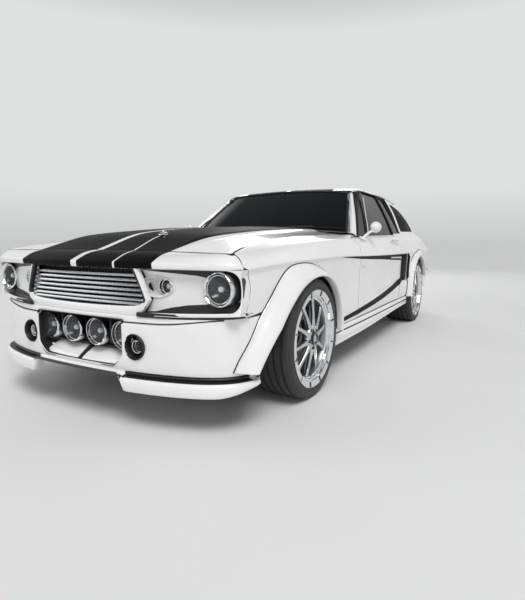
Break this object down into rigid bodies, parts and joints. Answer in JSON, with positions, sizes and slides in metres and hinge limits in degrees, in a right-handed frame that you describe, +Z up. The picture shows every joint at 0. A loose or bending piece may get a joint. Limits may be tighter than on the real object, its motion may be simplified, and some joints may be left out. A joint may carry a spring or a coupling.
{
  "type": "fastback muscle car",
  "caption": "Fastback muscle coupe with opening doors, hood and trunk, steered front wheels and free-rolling wheels, in white with black stripes.",
  "frame": {"origin": "on the ground below the middle of the length and width, tyres standing on z = 0", "axes": "+X to the left side of the car, nose towards -Y, +Z up"},
  "size_m": [1.8836, 4.66, 1.33],
  "materials": {
    "body_paint": "gloss clearcoat white with black stripes",
    "chrome": "polished",
    "black_trim": "satin black",
    "glass": "dark tint",
    "tail_lens": "moulded red lens",
    "chassis_black": "semi-gloss underbody paint",
    "engine_iron": "cast, dull",
    "exhaust_steel": "brushed, heat-tinted",
    "seat_leather": "black hide",
    "wheel_rim_black": "black rim, satin metal spokes",
    "tyre": "dull rubber",
    "alloy": "machined and painted alloy"
  },
  "bodies": {
    "chassis": {"chassis_rails": "chassis_black", "cowl": "black_trim", "dashboard": "black_trim", "driving_lamps": "chrome", "engine_block": "engine_iron", "exhaust": "exhaust_steel", "fenders": "body_paint", "firewall": "chassis_black", "floor_pan": "chassis_black", "front_seats": "seat_leather", "front_subframe": "chassis_black", "front_valance": "body_paint", "fuel_tank": "chassis_black", "grille": "black_trim", "header_panel": "body_paint", "headlamp_panels": "body_paint", "headlamps": "chrome", "leaf_springs": "chassis_black", "quarter_glass": "glass", "quarter_panels": "body_paint", "radiator": "chassis_black", "rear_axle": "chassis_black", "rear_bumper": "chrome", "rear_deck": "black_trim", "rear_seat": "seat_leather", "rear_valance": "body_paint", "rear_window": "glass", "roof": "body_paint", "side_skirts": "body_paint", "tail_lamps": "tail_lens", "tail_panel": "body_paint", "trunk_floor": "chassis_black", "wheelhouses": "chassis_black", "windshield": "glass"},
    "door_left": {"door_left": "body_paint", "door_glass_left": "glass", "mirror_left": "body_paint"},
    "door_right": {"door_right": "body_paint", "door_glass_right": "glass", "mirror_right": "body_paint"},
    "hood": {"hood": "body_paint"},
    "trunk_lid": {"trunk_lid": "body_paint"},
    "knuckle_left": {"knuckle_left": "chassis_black"},
    "knuckle_right": {"knuckle_right": "chassis_black"},
    "wheel_front_left": {"tyre_front_left": "tyre", "rim_front_left": "alloy"},
    "wheel_front_right": {"tyre_front_right": "tyre", "rim_front_right": "alloy"},
    "wheel_rear_left": {"tyre_rear_left": "tyre", "rim_rear_left": "alloy"},
    "wheel_rear_right": {"tyre_rear_right": "tyre", "rim_rear_right": "alloy"},
    "steering_wheel": {"steering_wheel": "wheel_rim_black"}
  },
  "joints": [
    {"name": "steer_left", "type": "hinge", "parent": "chassis", "child": "knuckle_left", "pos_m": [0.7, -1.461, 0.332], "axis": [0, 0, 1], "range_deg": [-30, 30]},
    {"name": "steer_right", "type": "hinge", "parent": "chassis", "child": "knuckle_right", "pos_m": [-0.7, -1.461, 0.332], "axis": [0, 0, 1], "range_deg": [-30, 30]},
    {"name": "steering_wheel_turn", "type": "hinge", "parent": "chassis", "child": "steering_wheel", "pos_m": [0.37, -0.06, 0.83], "axis": [0, 0.9135, 0.4067], "range_deg": [-490, 490]},
    {"name": "wheel_front_left_spin", "type": "hinge", "parent": "knuckle_left", "child": "wheel_front_left", "pos_m": [0.767, -1.461, 0.332], "axis": [1, 0, 0], "continuous": true},
    {"name": "wheel_front_right_spin", "type": "hinge", "parent": "knuckle_right", "child": "wheel_front_right", "pos_m": [-0.767, -1.461, 0.332], "axis": [1, 0, 0], "continuous": true},
    {"name": "wheel_rear_left_spin", "type": "hinge", "parent": "chassis", "child": "wheel_rear_left", "pos_m": [0.753, 1.282, 0.332], "axis": [1, 0, 0], "continuous": true},
    {"name": "wheel_rear_right_spin", "type": "hinge", "parent": "chassis", "child": "wheel_rear_right", "pos_m": [-0.753, 1.282, 0.332], "axis": [1, 0, 0], "continuous": true},
    {"name": "door_left_hinge", "type": "hinge", "parent": "chassis", "child": "door_left", "pos_m": [0.896, -0.637, 0.62], "axis": [0, 0, -1], "range_deg": [0, 65]},
    {"name": "door_right_hinge", "type": "hinge", "parent": "chassis", "child": "door_right", "pos_m": [-0.896, -0.637, 0.62], "axis": [0, 0, 1], "range_deg": [0, 65]},
    {"name": "hood_hinge", "type": "hinge", "parent": "chassis", "child": "hood", "pos_m": [0, -0.714, 0.954], "axis": [-1, 0, 0], "range_deg": [0, 60]},
    {"name": "trunk_lid_hinge", "type": "hinge", "parent": "chassis", "child": "trunk_lid", "pos_m": [0, 1.872, 1.014], "axis": [1, 0, 0], "range_deg": [0, 70]}
  ],
  "couplings": [
    {"joint": "steer_right", "follows": "steer_left", "ratio": 1},
    {"joint": "steering_wheel_turn", "follows": "steer_left", "ratio": 16}
  ]
}
